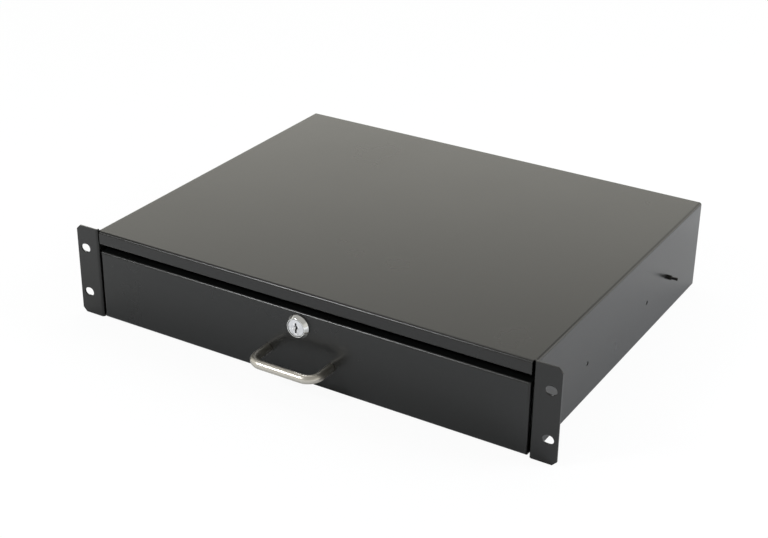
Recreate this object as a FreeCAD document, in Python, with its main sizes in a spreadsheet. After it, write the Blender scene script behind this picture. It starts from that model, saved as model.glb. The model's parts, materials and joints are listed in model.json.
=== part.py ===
import FreeCAD, Part
import math
import os
import Sketcher

# Sliding drawer for a 19-inch rack, two units high.
# Millimetres. X runs to the right, Y to the back and Z up.
# The origin is the centre of the four rack-ear slots, on the front face of the ears.

doc = FreeCAD.newDocument("RackDrawer")
sheet = doc.addObject("Spreadsheet::Sheet", "Size")

# Each driving dimension is written once here, and every piece reads it from the sheet.
SIZES = [
    # the rack standard
    ("RackWidth", 482.6),
    ("PanelHeight", 88.1),
    ("SlotInset", 8.75),
    ("SlotSpacingUp", 44.45),
    ("SlotWidth", 7.0),
    ("SlotLength", 10.0),
    ("SlotSinkDiameter", 10.8),
    ("SlotSinkDepth", 1.2),
    ("EarCornerCut", 4.0),
    # the housing, one folded sheet with a panel at its back
    ("EarWidth", 22.8),
    ("HousingDepth", 355.0),
    ("TopGap", 1.1),
    ("HousingSheet", 1.5),
    ("BendInside", 1.0),
    ("LipDrop", 13.2),
    ("LipSideGap", 1.7),
    ("LipReturn", 4.0),
    ("EarBendLand", 0.4),
    ("ReliefSlit", 0.6),
    ("BaseFlange", 15.0),
    ("BaseFlangeGap", 4.0),
    ("BackFlange", 14.0),
    ("BackPanelGap", 1.4),
    ("BackPanelFoot", 12.0),
    ("BackPanelFootRise", 0.3),
    ("RivetShank", 3.2),
    ("RivetHead", 6.4),
    ("RivetHeadFace", 3.8),
    ("RivetHeadHeight", 1.2),
    ("RivetTail", 4.8),
    ("RivetTailHeight", 1.6),
    ("RivetHoleSlack", 0.1),
    ("RivetTopInset", 68.5),
    ("RivetSideDrop", 25.0),
    ("RivetSideRise", 20.0),
    # the strike that the lock's cam catches behind
    ("StrikeWidth", 60.0),
    ("StrikeSheet", 1.5),
    ("StrikeFoot", 18.0),
    ("StrikeRise", 3.0),
    ("StrikeCamGap", 0.8),
    # the telescopic rails, three members a side on balls
    ("RailSpace", 12.7),
    ("RailHeight", 45.4),
    ("RailSheet", 1.2),
    ("RailFrontGap", 2.0),
    ("RailBackGap", 43.0),
    ("RailCentre", 35.5),
    ("RailBend", 0.5),
    ("RailMouthLip", 1.5),
    ("CabinetRailDepth", 11.0),
    ("MiddleRailInset", 2.6),
    ("MiddleRailDepth", 8.0),
    ("DrawerRailDepth", 7.4),
    ("MiddleRailFrontInset", 1.0),
    ("DrawerRailShort", 8.0),
    ("BallDiameter", 3.0),
    ("BallSlack", 0.2),
    ("BallsInRow", 6),
    ("BallEndRoom", 8.0),
    ("CageSheet", 0.7),
    ("CageStrip", 0.9),
    ("CageWebGap", 0.35),
    ("CageMouthGap", 0.4),
    ("CageFrontRoom", 3.5),
    ("CageEndRoom", 14.0),
    ("BufferLength", 5.0),
    ("BufferGap", 0.3),
    ("BufferFit", 0.2),
    ("AccessHole", 10.0),
    # what fastens the rails
    ("WallScrewInset", 90.5),
    ("WallScrewStudGap", 50.0),
    ("WallScrewDiameter", 4.0),
    ("WallScrewRecess", 0.7),
    ("CountersinkLand", 0.1),
    ("StudInset", 31.5),
    ("StudRise", 4.2),
    ("StudDiameter", 3.0),
    ("StudReach", 9.4),
    ("StudCollar", 4.4),
    ("StudCollarHeight", 3.8),
    ("StudCollarBevel", 0.5),
    ("TrayScrewInset", 30.0),
    ("TrayScrewsInRow", 3),
    ("TrayScrewDiameter", 3.5),
    ("TrayScrewHead", 7.0),
    ("TrayScrewHeadHeight", 2.2),
    ("TrayScrewReach", 2.6),
    ("HoleSlack", 0.2),
    # the drawer
    ("TrayBackGap", 3.5),
    ("TrayBottom", 4.0),
    ("TrayRimDrop", 5.5),
    ("TraySheet", 1.2),
    ("TrayCornerNotch", 3.0),
    ("FrontBottom", 0.8),
    ("FrontTopGap", 6.3),
    ("FrontSideGap", 2.0),
    ("FrontSheet", 1.5),
    ("FrontReturn", 10.0),
    ("PanelStudDiameter", 4.0),
    ("PanelStudLength", 7.0),
    ("PanelStudInset", 45.0),
    ("PanelStudRise", 15.0),
    ("PanelStudDrop", 17.5),
    ("PanelNutFlats", 7.0),
    ("PanelNutHeight", 3.2),
    ("PanelNutFlange", 10.0),
    ("PanelNutFlangeHeight", 1.0),
    # the pull handle, a bent round bar
    ("HandleCentres", 64.0),
    ("HandleHeight", 24.0),
    ("HandleDiameter", 8.0),
    ("HandleReach", 28.0),
    ("HandleBend", 11.5),
    ("HandleScrewDiameter", 4.0),
    ("HandleScrewHead", 8.0),
    ("HandleScrewHeadHeight", 2.4),
    ("HandleScrewDepth", 7.0),
    ("HandleWasher", 10.0),
    ("HandleWasherHeight", 1.0),
    ("HandleBoreDepth", 9.0),
    # the cam lock
    ("LockDrop", 13.0),
    ("BezelBase", 21.8),
    ("BezelFoot", 1.6),
    ("BezelStand", 5.1),
    ("BezelRim", 0.6),
    ("BezelEdge", 0.3),
    ("BarrelDiameter", 18.0),
    ("BarrelLength", 13.0),
    ("BarrelHoleSlack", 0.3),
    ("PlugFace", 15.2),
    ("PlugFaceDepth", 3.0),
    ("PlugRingGap", 0.5),
    ("PlugFaceInset", 0.3),
    ("PlugBody", 12.0),
    ("PlugSlack", 0.05),
    ("PlugEndGap", 0.4),
    ("KeySlotHeight", 8.6),
    ("KeySlotWidth", 1.5),
    ("KeySlotDepth", 14.0),
    ("KeyDish", 4.8),
    ("KeyDishDepth", 1.2),
    ("LockNutFlats", 20.8),
    ("LockNutHeight", 3.0),
    ("LockNotchRoom", 4.0),
    ("CamOverlap", 10.0),
    ("CamWidth", 14.0),
    ("CamSheet", 2.0),
    ("CamSquare", 7.0),
    ("CamScrewDiameter", 4.0),
    ("CamScrewHead", 9.0),
    ("CamScrewHeadHeight", 2.6),
    ("CamScrewDepth", 6.0),
    ("SocketFlats", 2.5),
    ("SocketDepth", 1.2),
]
for row, (alias, value) in enumerate(SIZES, start=1):
    sheet.set(f"A{row}", alias)
    sheet.set(f"B{row}", str(value))
    sheet.setAlias(f"B{row}", alias)
doc.recompute()

# Places that several pieces share, as expressions of the sheet.
BASE = "(-Size.PanelHeight / 2)"
TOP = "(Size.PanelHeight / 2 - Size.TopGap)"
CEILING = f"({TOP} - Size.HousingSheet)"
RACK_HALF = "(Size.RackWidth / 2)"
HALF = f"({RACK_HALF} - Size.EarWidth)"
WALL = f"({HALF} - Size.HousingSheet)"
OUTER_BEND = "(Size.BendInside + Size.HousingSheet)"
LIP_END = f"({WALL} - Size.LipSideGap)"
LIP_BOTTOM = f"({TOP} - Size.LipDrop)"
BACK = "(Size.HousingDepth - Size.HousingSheet)"
BACK_PANEL_FRONT = f"({BACK} - Size.HousingSheet)"
BACK_FOOT_FRONT = f"({BACK_PANEL_FRONT} - Size.BackPanelFoot)"
RELIEF_LOW = f"({TOP} - {OUTER_BEND} - Size.BendInside)"
EAR_BEND_BACK = f"({OUTER_BEND} + Size.EarBendLand)"
FLANGE_TIP = f"({HALF} - Size.BaseFlange)"
FLANGE_FRONT = "(Size.FrontReturn + Size.BaseFlangeGap)"

FRONT_HALF = f"({WALL} - Size.FrontSideGap)"
FRONT_LOW = f"({BASE} + Size.FrontBottom)"
FRONT_HIGH = f"({LIP_BOTTOM} - Size.FrontTopGap)"
TRAY_HALF = f"({WALL} - Size.RailSpace)"
TRAY_FRONT = "(Size.FrontSheet)"
TRAY_INNER_FRONT = f"({TRAY_FRONT} + Size.TraySheet)"
TRAY_BACK = f"({BACK_FOOT_FRONT} - Size.TrayBackGap)"
TRAY_LOW = f"({BASE} + Size.TrayBottom)"
TRAY_RIM = f"({FRONT_HIGH} - Size.TrayRimDrop)"
HANDLE_Z = f"({BASE} + Size.HandleHeight)"
LOCK_Z = f"({FRONT_HIGH} - Size.LockDrop)"
CAM_FRONT = "(Size.BarrelLength + Size.PlugEndGap)"
CAM_REACH = "(Size.LockDrop + Size.StrikeRise + Size.CamOverlap)"

RAIL_Z = f"({BASE} + Size.RailCentre)"
RAIL_FRONT = "(Size.FrontReturn + Size.RailFrontGap)"
RAIL_BACK = "(Size.HousingDepth - Size.RailBackGap)"
RAIL_LENGTH = f"({RAIL_BACK} - {RAIL_FRONT})"
MIDDLE_FRONT = f"({RAIL_FRONT} + Size.MiddleRailFrontInset)"
MIDDLE_BACK = f"({RAIL_BACK} - Size.BufferLength - Size.BufferGap)"
DRAWER_RAIL_BACK = f"({MIDDLE_BACK} - Size.DrawerRailShort)"
SINK = "(Size.RailSheet - Size.CountersinkLand)"
STUD_Y = f"({RAIL_BACK} - Size.StudInset)"
STUD_Z = f"({RAIL_Z} + Size.StudRise)"
WALL_SCREW_PLACES = (f"({RAIL_FRONT} + Size.WallScrewInset)", f"({STUD_Y} - Size.WallScrewStudGap)")

# How far a cut runs past the faces that it goes through.
PAST = "1"
# The flat top of a pan head, as a share of its width.
PAN_HEAD_TOP = 0.7

parts = []


def number(expression):
    """The value of an expression of the sheet."""
    return float(sheet.evalExpression(str(expression)))


def spaced(first, last, count):
    """Places spread evenly from the first to the last."""
    return [f"({first} + ({last} - {first}) * {index} / {count - 1})" for index in range(count)]


def vector(place):
    return FreeCAD.Vector(*[number(expression) for expression in place])


def new_body(name):
    body = doc.addObject("PartDesign::Body", name)
    parts.append(body)
    return body


def sketch_on(body, name, role, offset="0"):
    """A sketch on one of the body's own origin planes, moved along that plane's normal."""
    plane = [feature for feature in body.Origin.OriginFeatures if feature.Role == role][0]
    sketch = body.newObject("Sketcher::SketchObject", name)
    sketch.AttachmentSupport = [(plane, "")]
    sketch.MapMode = "FlatFace"
    sketch.setExpression("AttachmentOffset.Base.z", offset)
    return sketch


def constrain(sketch, expression, *definition):
    """A driving dimension of the sketch, bound to the sheet."""
    index = sketch.addConstraint(Sketcher.Constraint(*definition, number(expression)))
    sketch.setExpression(f"Constraints[{index}]", expression)


def pin(sketch, element, point, across, up):
    """Holds a point of the sketch at two distances from its origin."""
    constrain(sketch, across, "DistanceX", -1, 1, element, point)
    constrain(sketch, up, "DistanceY", -1, 1, element, point)


def polygon(sketch, points):
    first = sketch.GeometryCount
    spots = [vector((across, up, "0")) for across, up in points]
    count = len(spots)
    for index in range(count):
        sketch.addGeometry(Part.LineSegment(spots[index], spots[(index + 1) % count]), False)
    for index in range(count):
        following = first + (index + 1) % count
        sketch.addConstraint(Sketcher.Constraint("Coincident", first + index, 2, following, 1))
    for index, (across, up) in enumerate(points):
        pin(sketch, first + index, 1, across, up)


def rectangle(sketch, left, right, low, high):
    polygon(sketch, [(left, low), (right, low), (right, high), (left, high)])


def circle(sketch, across, up, diameter):
    centre = vector((across, up, "0"))
    index = sketch.addGeometry(Part.Circle(centre, FreeCAD.Vector(0, 0, 1), number(diameter) / 2), False)
    constrain(sketch, diameter, "Diameter", index)
    pin(sketch, index, 3, across, up)


def slot(sketch, across, up, length, width):
    """A round-ended slot that runs along the sketch's first axis."""
    radius = number(width) / 2
    reach = number(length) / 2 - radius
    centre = vector((across, up, "0"))
    arcs = []
    for side in (-1, 1):
        rim = Part.Circle(centre + FreeCAD.Vector(side * reach, 0, 0), FreeCAD.Vector(0, 0, 1), radius)
        start = -side * math.pi / 2
        arcs.append(sketch.addGeometry(Part.ArcOfCircle(rim, start, start + math.pi), False))
    left, right = arcs
    over = FreeCAD.Vector(0, radius, 0)
    along = FreeCAD.Vector(reach, 0, 0)
    top = sketch.addGeometry(Part.LineSegment(centre - along + over, centre + along + over), False)
    bottom = sketch.addGeometry(Part.LineSegment(centre - along - over, centre + along - over), False)
    for pair in ((left, 1, top, 1), (left, 2, bottom, 1), (top, 2, right, 2), (bottom, 2, right, 1)):
        sketch.addConstraint(Sketcher.Constraint("Tangent", *pair))
    constrain(sketch, f"({width}) / 2", "Radius", right)
    half = f"(({length}) - ({width})) / 2"
    pin(sketch, left, 3, f"({across}) - {half}", up)
    pin(sketch, right, 3, f"({across}) + {half}", up)


def extrude(body, name, kind, sketch, length, backwards):
    """A Pad or a Pocket, with a test that it changed the solid."""
    before = body.Shape.Volume if body.Tip is not None else 0
    feature = body.newObject(f"PartDesign::{kind}", name)
    feature.Profile = sketch
    feature.setExpression("Length", length)
    feature.Reversed = backwards
    body.Tip = feature
    doc.recompute()
    gained = body.Shape.Volume - before
    if (gained > 0) != (kind == "Pad") or gained == 0:
        raise ValueError(f"{body.Label}.{name} points the wrong way or misses the solid")


def spin(body, name, kind, sketch, axis):
    """A Revolution or a Groove about an axis of its sketch, with the same test."""
    before = body.Shape.Volume if body.Tip is not None else 0
    feature = body.newObject(f"PartDesign::{kind}", name)
    feature.Profile = sketch
    feature.ReferenceAxis = (sketch, [axis])
    feature.Angle = 360
    body.Tip = feature
    doc.recompute()
    gained = body.Shape.Volume - before
    if (gained > 0) != (kind == "Revolution") or gained == 0:
        raise ValueError(f"{body.Label}.{name} misses the solid")


def add_block(body, name, rectangles, low, high):
    """Pads one or more rectangles of the XY plane between two heights."""
    sketch = sketch_on(body, f"{name}_sketch", "XY_Plane", low)
    for bounds in rectangles:
        rectangle(sketch, *bounds)
    extrude(body, name, "Pad", sketch, f"{high} - {low}", False)


def cut_block(body, name, rectangles, low, high):
    """Pockets one or more rectangles of the XY plane between two heights."""
    sketch = sketch_on(body, f"{name}_sketch", "XY_Plane", low)
    for bounds in rectangles:
        rectangle(sketch, *bounds)
    extrude(body, name, "Pocket", sketch, f"{high} - {low}", True)


def both_sides(left, right, low, high):
    """A rectangle and its mirror image across the middle of the drawer."""
    return [(left, right, low, high), (f"-({right})", f"-({left})", low, high)]


def drill_back(body, name, front, depth, draw):
    """Pockets towards +Y from a plane at Y = front. draw adds the outlines in X and Z."""
    sketch = sketch_on(body, f"{name}_sketch", "XZ_Plane", f"-({front})")
    draw(sketch)
    extrude(body, name, "Pocket", sketch, depth, False)


def pierce_back(body, name, front, thickness, draw):
    """Pockets right through a sheet whose front face is at Y = front."""
    drill_back(body, name, f"({front} - {PAST})", f"{thickness} + 2 * {PAST}", draw)


def pierce_across(body, name, half, draw):
    """Pockets right through a piece along X, from side to side. draw adds the outlines in Y and Z."""
    sketch = sketch_on(body, f"{name}_sketch", "YZ_Plane", f"(-{half} - {PAST})")
    draw(sketch)
    extrude(body, name, "Pocket", sketch, f"2 * ({half} + {PAST})", True)


def edges_through(shape, places):
    """The names of the edges that pass through the given places."""
    spots = [Part.Vertex(vector(place)) for place in places]
    names = []
    for index, edge in enumerate(shape.Edges, start=1):
        if any(edge.distToShape(spot)[0] < 0.001 for spot in spots):
            names.append(f"Edge{index}")
    if len(names) < len(places):
        raise ValueError(f"found {len(names)} edges at {len(places)} places")
    return names


def round_edges(body, name, places, radius):
    base = body.Tip
    names = edges_through(base.Shape, places)
    feature = body.newObject("PartDesign::Fillet", name)
    feature.Base = (base, names)
    feature.setExpression("Radius", radius)
    body.Tip = feature
    doc.recompute()


def cut_corners(body, name, places, size):
    base = body.Tip
    names = edges_through(base.Shape, places)
    feature = body.newObject("PartDesign::Chamfer", name)
    feature.Base = (base, names)
    feature.setExpression("Size", size)
    body.Tip = feature
    doc.recompute()


def mirror(body, name):
    """The other side's copy of a piece, across the middle of the drawer."""
    copy = doc.addObject("Part::Mirroring", name)
    copy.Source = body
    copy.Normal = FreeCAD.Vector(1, 0, 0)
    parts.append(copy)
    return copy


def put(solid, place, direction):
    turn = FreeCAD.Rotation(FreeCAD.Vector(0, 0, 1), FreeCAD.Vector(*direction))
    solid.Placement = FreeCAD.Placement(FreeCAD.Vector(), turn)
    for axis, expression in zip("xyz", place):
        solid.setExpression(f"Placement.Base.{axis}", expression)
    return solid


def cylinder(name, diameter, length, place, direction):
    solid = doc.addObject("Part::Cylinder", name)
    solid.setExpression("Radius", f"({diameter}) / 2")
    solid.setExpression("Height", length)
    return put(solid, place, direction)


def cone(name, start, end, length, place, direction):
    solid = doc.addObject("Part::Cone", name)
    solid.setExpression("Radius1", f"({start}) / 2")
    solid.setExpression("Radius2", f"({end}) / 2")
    solid.setExpression("Height", length)
    return put(solid, place, direction)


def hexagon(name, flats, length, place, direction):
    solid = doc.addObject("Part::Prism", name)
    solid.Polygon = 6
    solid.setExpression("Circumradius", f"({flats}) / sqrt(3)")
    solid.setExpression("Height", length)
    return put(solid, place, direction)


def fuse(name, solids):
    joined = doc.addObject("Part::MultiFuse", name)
    joined.Shapes = solids
    return joined


def cut(name, base, tool):
    result = doc.addObject("Part::Cut", name)
    result.Base = base
    result.Tool = tool
    return result


def group(name, solids):
    """Identical pieces under one name, each still a solid of its own."""
    compound = doc.addObject("Part::Compound", name)
    compound.Links = solids
    parts.append(compound)
    return compound


def keep(solid):
    parts.append(solid)
    return solid


# Housing ------------------------------------------------------------------------------------------

RIVET_PLACES = [
    (side + across, up)
    for side in ("-", "")
    for across, up in (
        (f"({HALF} - Size.RivetTopInset)", f"({TOP} - Size.BackFlange / 2)"),
        (f"({HALF} - Size.BackFlange / 2)", f"({TOP} - Size.RivetSideDrop)"),
        (f"({HALF} - Size.BackFlange / 2)", f"({BASE} + Size.RivetSideRise)"),
    )
]


def draw_rivet_holes(sketch):
    for across, up in RIVET_PLACES:
        circle(sketch, across, up, "Size.RivetShank + Size.RivetHoleSlack")


def make_housing_shell():
    """Top, sides, rack ears, front lip and back flanges, folded from one sheet."""
    body = new_body("housing_shell")
    depth = "Size.HousingDepth"
    middle = f"({depth} / 2)"
    knee = f"({BASE} + Size.HousingSheet)"

    # the outside of the box, with its bends
    add_block(body, "outside", [(f"-{HALF}", HALF, "0", depth)], BASE, TOP)
    outside = [(side + HALF, middle, height) for side in ("-", "") for height in (TOP, BASE)]
    outside += [(side + HALF, depth, "0") for side in ("-", "")]
    outside += [("0", depth, TOP)]
    round_edges(body, "outer_bends", outside, OUTER_BEND)

    # the inside
    cut_block(body, "inside", [(f"-{WALL}", WALL, f"-{PAST}", BACK)], knee, CEILING)
    inside = [(side + WALL, middle, height) for side in ("-", "") for height in (CEILING, knee)]
    inside += [(side + WALL, BACK, "0") for side in ("-", "")]
    inside += [("0", BACK, CEILING)]
    round_edges(body, "inner_bends", inside, "Size.BendInside")

    # the base is open between two flanges, which stop short of the front
    below = f"({BASE} - {PAST})"
    cut_block(body, "base_opening", [(f"-{FLANGE_TIP}", FLANGE_TIP, f"-{PAST}", f"{depth} + {PAST}")],
              below, knee)
    cut_block(body, "base_front", [(f"-{WALL}", WALL, f"-{PAST}", FLANGE_FRONT)],
              below, f"({knee} + Size.BendInside)")
    add_block(body, "wall_foot", both_sides(WALL, HALF, "0", FLANGE_FRONT), BASE, f"({BASE} + {OUTER_BEND})")

    # the back is open inside its flanges
    flange = f"({HALF} - Size.BackFlange)"
    cut_block(body, "back_opening", [(f"-{flange}", flange, f"{BACK} - {PAST}", f"{depth} + {PAST}")],
              below, f"({TOP} - Size.BackFlange)")

    # the front lip and the reliefs beside it
    relief = both_sides(LIP_END, f"{HALF} + {PAST}", f"-{PAST}", f"{EAR_BEND_BACK} + Size.ReliefSlit")
    cut_block(body, "corner_relief", relief, RELIEF_LOW, f"({TOP} + {PAST})")
    add_block(body, "lip", [(f"-{LIP_END}", LIP_END, "0", "Size.HousingSheet")], LIP_BOTTOM, TOP)
    round_edges(body, "lip_bend", [("0", "0", TOP)], OUTER_BEND)
    round_edges(body, "lip_inner_bend", [("0", "Size.HousingSheet", CEILING)], "Size.BendInside")
    foot_top = f"({LIP_BOTTOM} + Size.HousingSheet)"
    add_block(body, "lip_return", [(f"-{LIP_END}", LIP_END, "0", "Size.LipReturn")], LIP_BOTTOM, foot_top)
    round_edges(body, "lip_foot_bend", [("0", "0", LIP_BOTTOM)], OUTER_BEND)
    round_edges(body, "lip_foot_inner_bend", [("0", "Size.HousingSheet", foot_top)], "Size.BendInside")

    # the rack ears, turned outwards from the side walls
    add_block(body, "ear_posts", both_sides(WALL, HALF, "0", EAR_BEND_BACK), RELIEF_LOW, f"(-{BASE})")
    add_block(body, "ears", both_sides(WALL, RACK_HALF, "0", "Size.HousingSheet"), BASE, f"(-{BASE})")
    round_edges(body, "ear_outer_bends", [(side + WALL, "0", "0") for side in ("-", "")], OUTER_BEND)
    round_edges(body, "ear_inner_bends", [(side + HALF, "Size.HousingSheet", "0") for side in ("-", "")],
                "Size.BendInside")
    corners = [(side + RACK_HALF, "Size.HousingSheet / 2", height)
               for side in ("-", "") for height in (BASE, f"-{BASE}")]
    cut_corners(body, "ear_corners", corners, "Size.EarCornerCut")

    slots = [(f"{side}({RACK_HALF} - Size.SlotInset)", f"{sign}Size.SlotSpacingUp / 2")
             for side in ("-", "") for sign in ("-", "")]

    def draw_rack_slots(sketch):
        for across, up in slots:
            slot(sketch, across, up, "Size.SlotLength", "Size.SlotWidth")

    pierce_back(body, "rack_slots", "0", "Size.HousingSheet", draw_rack_slots)
    for index, (across, up) in enumerate(slots):
        plane = sketch_on(body, f"slot_sink_{index}_sketch", "XY_Plane", f"({up})")
        rim = f"({across} + Size.SlotSinkDiameter / 2)"
        foot = f"({across} + Size.SlotWidth / 2)"
        depth = "Size.SlotSinkDepth"
        polygon(plane, [(across, "0"), (rim, "0"), (foot, depth), (across, depth)])
        spin(body, f"slot_sink_{index}", "Groove", plane, f"Edge{plane.GeometryCount}")

    def draw_rail_holes(sketch):
        for place in WALL_SCREW_PLACES:
            circle(sketch, place, RAIL_Z, "Size.WallScrewDiameter")
        circle(sketch, STUD_Y, STUD_Z, "Size.StudDiameter + Size.HoleSlack")

    pierce_across(body, "rail_holes", HALF, draw_rail_holes)

    pierce_back(body, "rivet_holes", BACK, "Size.HousingSheet", draw_rivet_holes)


def make_rear_panel():
    """The flat panel inside the back flanges, with a foot folded forwards."""
    body = new_body("rear_panel")
    side = f"({WALL} - Size.BackPanelGap)"
    low = f"({BASE} + Size.HousingSheet + Size.BackPanelFootRise)"
    add_block(body, "sheet", [(f"-{side}", side, BACK_PANEL_FRONT, BACK)], low,
              f"({CEILING} - Size.BackPanelGap)")
    foot_side = f"({FLANGE_TIP} - Size.BackPanelGap)"
    foot_top = f"({low} + Size.HousingSheet)"
    add_block(body, "foot", [(f"-{foot_side}", foot_side, BACK_FOOT_FRONT, BACK)], low, foot_top)
    round_edges(body, "foot_bend", [("0", BACK, low)], OUTER_BEND)
    round_edges(body, "foot_inner_bend", [("0", BACK_PANEL_FRONT, foot_top)], "Size.BendInside")
    pierce_back(body, "rivet_holes", BACK_PANEL_FRONT, "Size.HousingSheet", draw_rivet_holes)


def make_rear_panel_rivets():
    rivets = []
    forwards = (0, -1, 0)
    backwards = (0, 1, 0)
    grip = "2 * Size.HousingSheet"
    for index, (across, up) in enumerate(RIVET_PLACES):
        face = (across, "Size.HousingDepth", up)
        inner = (across, f"Size.HousingDepth - {grip}", up)
        shank = cylinder(f"rivet_shank_{index}", "Size.RivetShank", grip, face, forwards)
        head = cone(f"rivet_head_{index}", "Size.RivetHead", "Size.RivetHeadFace",
                    "Size.RivetHeadHeight", face, backwards)
        tail = cylinder(f"rivet_tail_{index}", "Size.RivetTail", "Size.RivetTailHeight", inner, forwards)
        rivets.append(fuse(f"rivet_{index}", [shank, head, tail]))
    group("rear_panel_rivets", rivets)


def make_lock_strike():
    """The angle welded under the top, which the lock's cam turns up behind."""
    body = new_body("lock_strike")
    half = "(Size.StrikeWidth / 2)"
    face = f"({CAM_FRONT} - Size.StrikeCamGap)"
    front = f"({face} - Size.StrikeSheet)"
    foot = f"({CEILING} - Size.StrikeSheet)"
    drop = f"({FRONT_HIGH} + Size.StrikeRise)"
    add_block(body, "foot", [(f"-{half}", half, front, f"{front} + Size.StrikeFoot")], foot, CEILING)
    add_block(body, "leg", [(f"-{half}", half, front, face)], drop, CEILING)
    round_edges(body, "bend", [("0", front, CEILING)], OUTER_BEND)
    round_edges(body, "inner_bend", [("0", face, foot)], "Size.BendInside")


# Telescopic rails ---------------------------------------------------------------------------------
# Every rail piece is drawn for the right side. A depth is measured from the inner face of the wall.

def from_wall(depth):
    return f"({WALL} - ({depth}))"


BALL_GAP = "(Size.BallDiameter + 2 * Size.BallSlack)"
CABINET_TOP = "(Size.RailHeight / 2)"
MIDDLE_TOP = f"({CABINET_TOP} - Size.RailSheet - {BALL_GAP})"
DRAWER_TOP = f"({MIDDLE_TOP} - Size.RailSheet - {BALL_GAP})"

# The drawer travels the rails' whole length. A middle rail goes half as far, and a cage half as far
# past the rails on its two sides.
CAGE_FRONT = f"({RAIL_FRONT} + {RAIL_LENGTH} / 4 + Size.CageFrontRoom)"
CAGE_LENGTH = f"({RAIL_LENGTH} / 2 - Size.CageEndRoom)"

TRAY_SCREW_PLACES = spaced(f"({MIDDLE_FRONT} + Size.TrayScrewInset)",
                           f"({DRAWER_RAIL_BACK} - Size.TrayScrewInset)",
                           int(number("Size.TrayScrewsInRow")))


def make_channel(name, near, far, top, sheet, lip, front, length, open_side):
    """A rail of channel section. near and far are depths from the wall; open_side is 1 when the
    mouth faces the drawer and -1 when it faces the wall. lip turns the mouth's edges inwards."""
    body = new_body(name)
    web, mouth = (near, far) if open_side > 0 else (far, near)
    inner_web = f"({web} + {open_side} * ({sheet}))"
    inner_mouth = f"({mouth} - {open_side} * ({sheet}))"
    inner_top = f"({top} - ({sheet}))"
    outline = [(web, f"-{top}"), (web, top), (mouth, top)]
    if lip:
        tip = f"({top} - ({lip}) - ({sheet}))"
        outline += [(mouth, tip), (inner_mouth, tip), (inner_mouth, inner_top)]
    else:
        outline += [(mouth, inner_top)]
    outline += [(inner_web, inner_top), (inner_web, f"-{inner_top}")]
    if lip:
        outline += [(inner_mouth, f"-{inner_top}"), (inner_mouth, f"-{tip}"), (mouth, f"-{tip}")]
    else:
        outline += [(mouth, f"-{inner_top}")]
    outline += [(mouth, f"-{top}")]
    sketch = sketch_on(body, "section", "XZ_Plane", f"-({front})")
    polygon(sketch, [(from_wall(depth), f"({RAIL_Z} + {up})") for depth, up in outline])
    extrude(body, "channel", "Pad", sketch, length, True)
    middle = f"({front} + ({length}) / 2)"
    corners = [(from_wall(web), middle, f"{RAIL_Z} {sign} {top}") for sign in "+-"]
    if lip:
        corners += [(from_wall(mouth), middle, f"{RAIL_Z} {sign} {top}") for sign in "+-"]
    round_edges(body, "bends", corners, f"({sheet}) + Size.RailBend")
    corners = [(from_wall(inner_web), middle, f"{RAIL_Z} {sign} {inner_top}") for sign in "+-"]
    round_edges(body, "inner_bends", corners, "Size.RailBend")
    return body


def countersunk_head(shank):
    """The width of a countersunk head that ends just short of the rail's outer face."""
    return f"({shank} + 2 * {SINK})"


def countersink(body, name, along, up, shank):
    """A countersunk hole through the cabinet rail's web, sunk from its inner face."""
    face = from_wall("Size.RailSheet")
    beyond = from_wall(f"-{PAST}")
    plane = sketch_on(body, f"{name}_sketch", "XY_Plane", up)
    rim = f"({along} + {countersunk_head(shank)} / 2)"
    hole = f"({along} + {shank} / 2)"
    polygon(plane, [(face, along), (face, rim), (f"{face} + {SINK}", hole), (beyond, hole), (beyond, along)])
    spin(body, name, "Groove", plane, f"Edge{plane.GeometryCount}")


def make_cabinet_rail():
    body = make_channel("right_cabinet_rail", "0", "Size.CabinetRailDepth", CABINET_TOP, "Size.RailSheet",
                        "Size.RailMouthLip", RAIL_FRONT, RAIL_LENGTH, 1)
    for index, place in enumerate(WALL_SCREW_PLACES):
        countersink(body, f"screw_seat_{index}", place, RAIL_Z, "Size.WallScrewDiameter")
    countersink(body, "stud_seat", STUD_Y, STUD_Z, "Size.StudDiameter")
    mirror(body, "left_cabinet_rail")


def make_middle_rail():
    far = "(Size.MiddleRailInset + Size.MiddleRailDepth)"
    length = f"({MIDDLE_BACK} - {MIDDLE_FRONT})"
    body = make_channel("right_middle_rail", "Size.MiddleRailInset", far, MIDDLE_TOP, "Size.RailSheet",
                        "Size.RailSheet", MIDDLE_FRONT, length, 1)

    def draw_access_holes(sketch):
        for place in WALL_SCREW_PLACES:
            circle(sketch, place, RAIL_Z, "Size.AccessHole")
        circle(sketch, STUD_Y, STUD_Z, "Size.AccessHole")

    pierce_across(body, "access_holes", WALL, draw_access_holes)
    mirror(body, "left_middle_rail")


def make_drawer_rail():
    near = "(Size.RailSpace - Size.DrawerRailDepth)"
    length = f"({DRAWER_RAIL_BACK} - {MIDDLE_FRONT})"
    body = make_channel("right_drawer_rail", near, "Size.RailSpace", DRAWER_TOP, "Size.RailSheet",
                        None, MIDDLE_FRONT, length, -1)

    def draw_screw_holes(sketch):
        for place in TRAY_SCREW_PLACES:
            circle(sketch, place, RAIL_Z, "Size.TrayScrewDiameter")

    pierce_across(body, "screw_holes", WALL, draw_screw_holes)
    mirror(body, "left_drawer_rail")


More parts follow.
